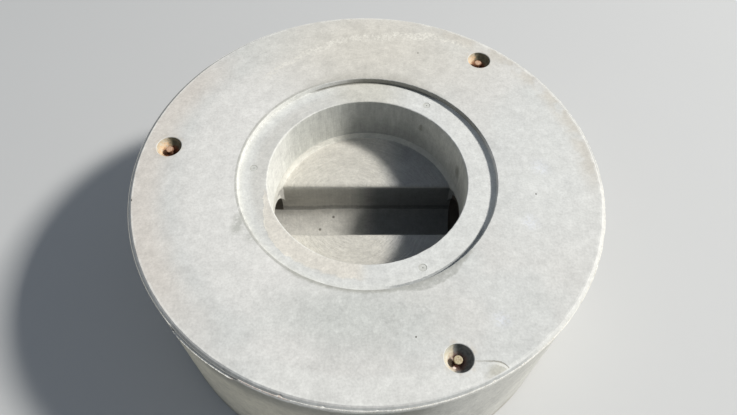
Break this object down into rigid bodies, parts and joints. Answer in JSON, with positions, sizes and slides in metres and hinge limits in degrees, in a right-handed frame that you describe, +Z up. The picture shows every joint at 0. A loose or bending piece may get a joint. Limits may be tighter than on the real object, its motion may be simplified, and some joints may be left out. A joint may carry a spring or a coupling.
{
  "type": "precast concrete manhole base with flow channel",
  "caption": "Round precast concrete manhole base with a central shaft, a recessed seat for a riser or frame, a flow channel between benches, pipe sockets and lifting anchors.",
  "frame": {"origin": "middle of the underside, on the axis of the round casting", "axes": "+Z up along the axis of the casting and shaft, +X along the flow channel towards one pipe socket"},
  "size_m": [1.165, 1.1646, 0.48],
  "materials": {
    "concrete": "smooth mould-cast concrete, light warm grey, mottled, with a thin mould fin",
    "anchor_steel": "forged steel, lightly rusted"
  },
  "bodies": {
    "root": {"manhole_base": "concrete", "lifting_anchor_1": "anchor_steel", "lifting_anchor_2": "anchor_steel", "lifting_anchor_3": "anchor_steel"}
  },
  "joints": []
}
